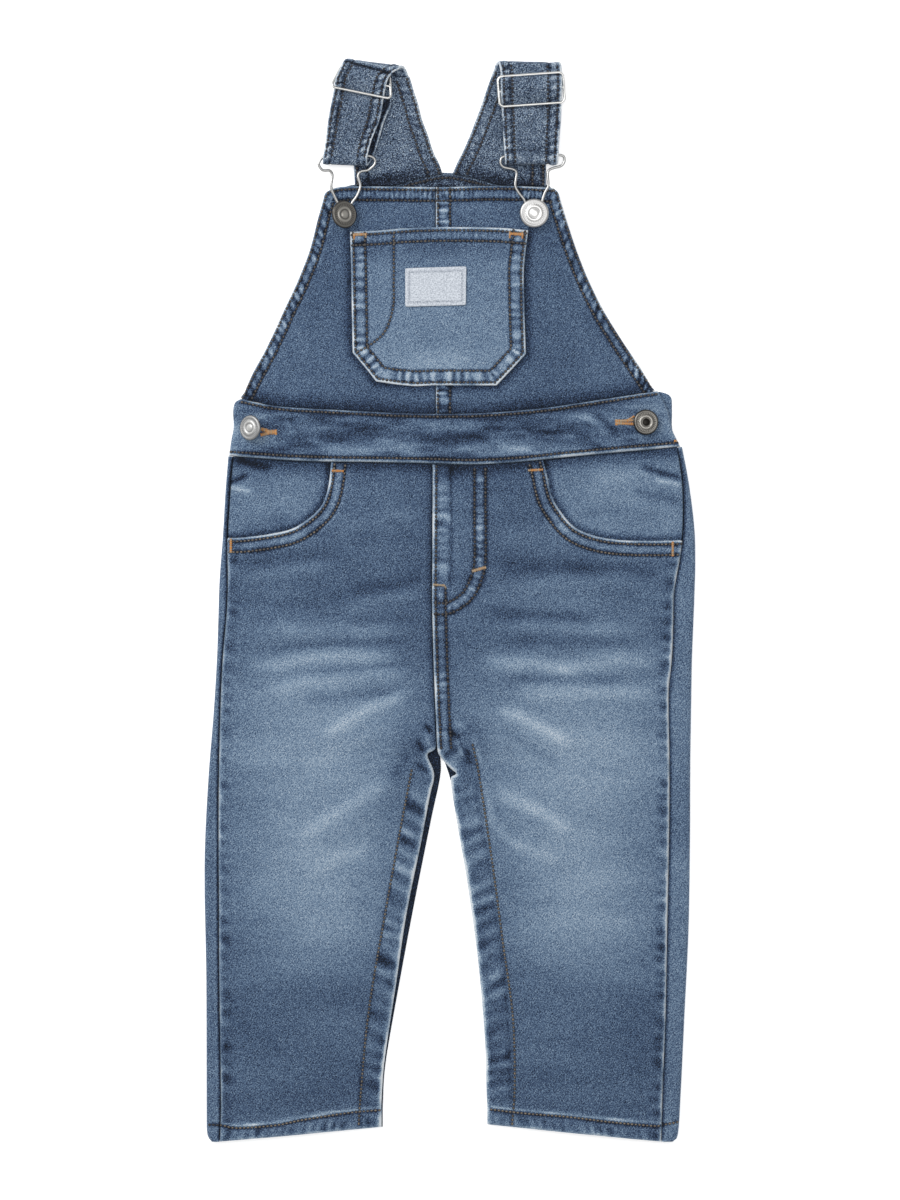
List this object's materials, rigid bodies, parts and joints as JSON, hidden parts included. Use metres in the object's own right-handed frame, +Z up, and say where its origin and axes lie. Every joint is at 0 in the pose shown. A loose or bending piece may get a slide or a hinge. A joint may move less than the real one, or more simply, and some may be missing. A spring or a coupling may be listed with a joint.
{
  "type": "kids dungarees",
  "caption": "Denim dungarees for a baby or toddler, laid flat on their back, with a bib, bib pocket, hip pockets, shoulder straps in wire hooks and sliders, and metal buttons.",
  "frame": {"origin": "middle of the garment's outline, on the surface that it lies on", "axes": "+Z up from that surface; +Y from the hems to the shoulders; +X to the right of someone who looks down at the front with the shoulders at the top"},
  "size_m": [0.2741, 0.6055, 0.0136],
  "materials": {
    "denim": "stone-washed mid-blue stretch denim",
    "label_cloth": "off-white woven tape",
    "nickel": "nickel-plated wire and pressed caps"
  },
  "bodies": {
    "root": {"leg_front_left": "denim", "leg_front_right": "denim", "leg_back_left": "denim", "leg_back_right": "denim", "pocket_facing_left": "denim", "pocket_facing_right": "denim", "waistband_front": "denim", "waistband_back": "denim", "bib_left": "denim", "bib_right": "denim", "bib_pocket": "denim", "back_yoke": "denim", "strap_back_left": "denim", "strap_back_right": "denim", "strap_front_left": "denim", "strap_front_right": "denim", "bib_label": "label_cloth", "slider_left": "nickel", "slider_right": "nickel", "hook_left": "nickel", "hook_right": "nickel", "bib_button_left": "nickel", "bib_button_right": "nickel", "side_button_left": "nickel", "side_button_right": "nickel"}
  },
  "joints": []
}
